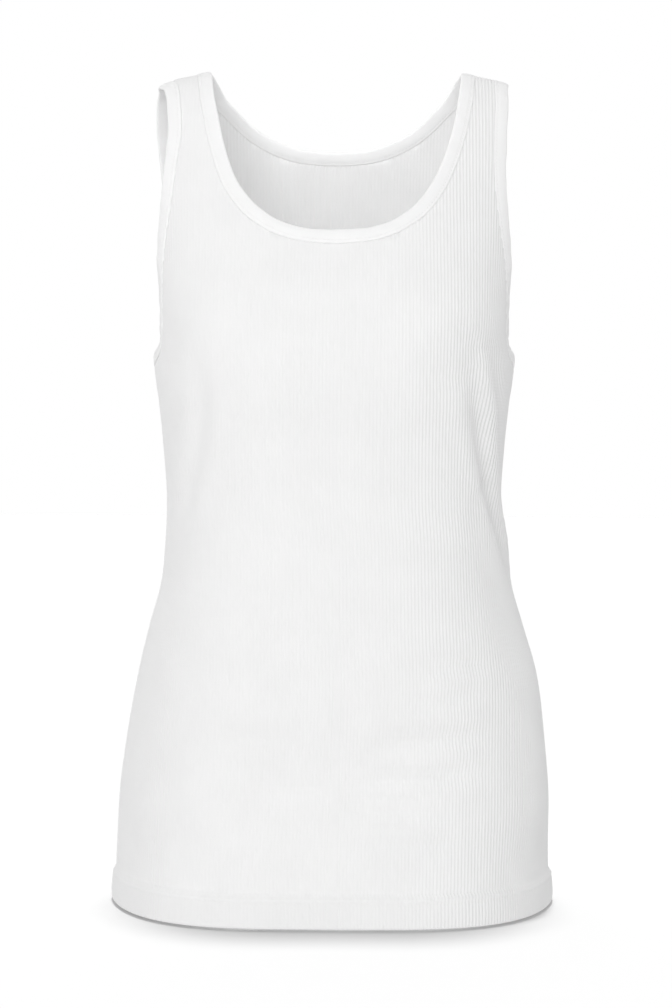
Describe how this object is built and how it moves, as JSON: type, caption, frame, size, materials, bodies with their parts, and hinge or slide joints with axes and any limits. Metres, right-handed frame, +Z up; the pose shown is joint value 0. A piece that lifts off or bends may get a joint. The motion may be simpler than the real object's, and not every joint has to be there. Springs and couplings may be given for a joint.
{
  "type": "tank top",
  "caption": "White rib-knit sleeveless tank top, filled out as worn, with a bound scoop neck, bound armholes and a turned-up stitched hem.",
  "frame": {"origin": "midway between the straps, level with the undersides of their tops, where the wearer's shoulders hold the garment up", "axes": "+Z up, -Y to the front, +X to the wearer's left"},
  "size_m": [0.3492, 0.2354, 0.6586],
  "materials": {
    "rib_knit": "matt white cotton rib knit, fine vertical ribs",
    "binding": "matt white cotton knit, folded binding"
  },
  "bodies": {
    "root": {"front_panel": "rib_knit", "back_panel": "rib_knit", "neck_band": "binding", "armhole_band_left": "binding", "armhole_band_right": "binding"}
  },
  "joints": []
}
